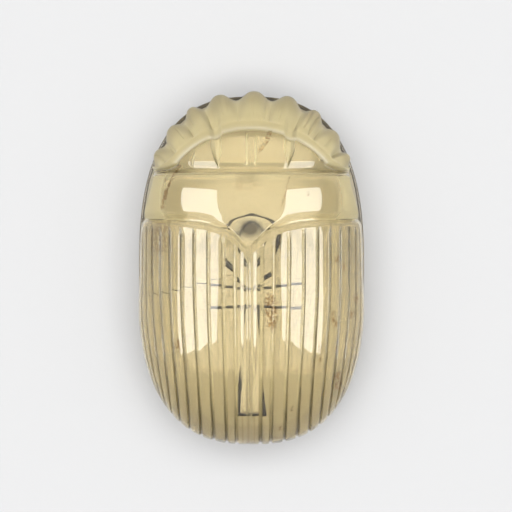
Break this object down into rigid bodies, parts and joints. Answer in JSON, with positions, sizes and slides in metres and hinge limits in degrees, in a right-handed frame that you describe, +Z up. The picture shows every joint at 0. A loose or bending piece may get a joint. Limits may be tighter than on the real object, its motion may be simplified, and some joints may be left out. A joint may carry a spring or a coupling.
{
  "type": "scarab amulet",
  "caption": "Scarab beetle carved in clear yellow stone on an oval slab, with ribbed wing cases, a lobed frill at the head and a line figure engraved underneath.",
  "frame": {"origin": "on the flat underside, under the middle of the amulet's bounding box", "axes": "+Z up from the underside to the back, +Y from the tail to the head, +X to the beetle's right as seen from above with the head up"},
  "size_m": [0.0322, 0.05, 0.02],
  "materials": {
    "stone": "clear pale yellow stone, polished on top, ground in the carved lines"
  },
  "bodies": {
    "root": {"scarab": "stone"}
  },
  "joints": []
}
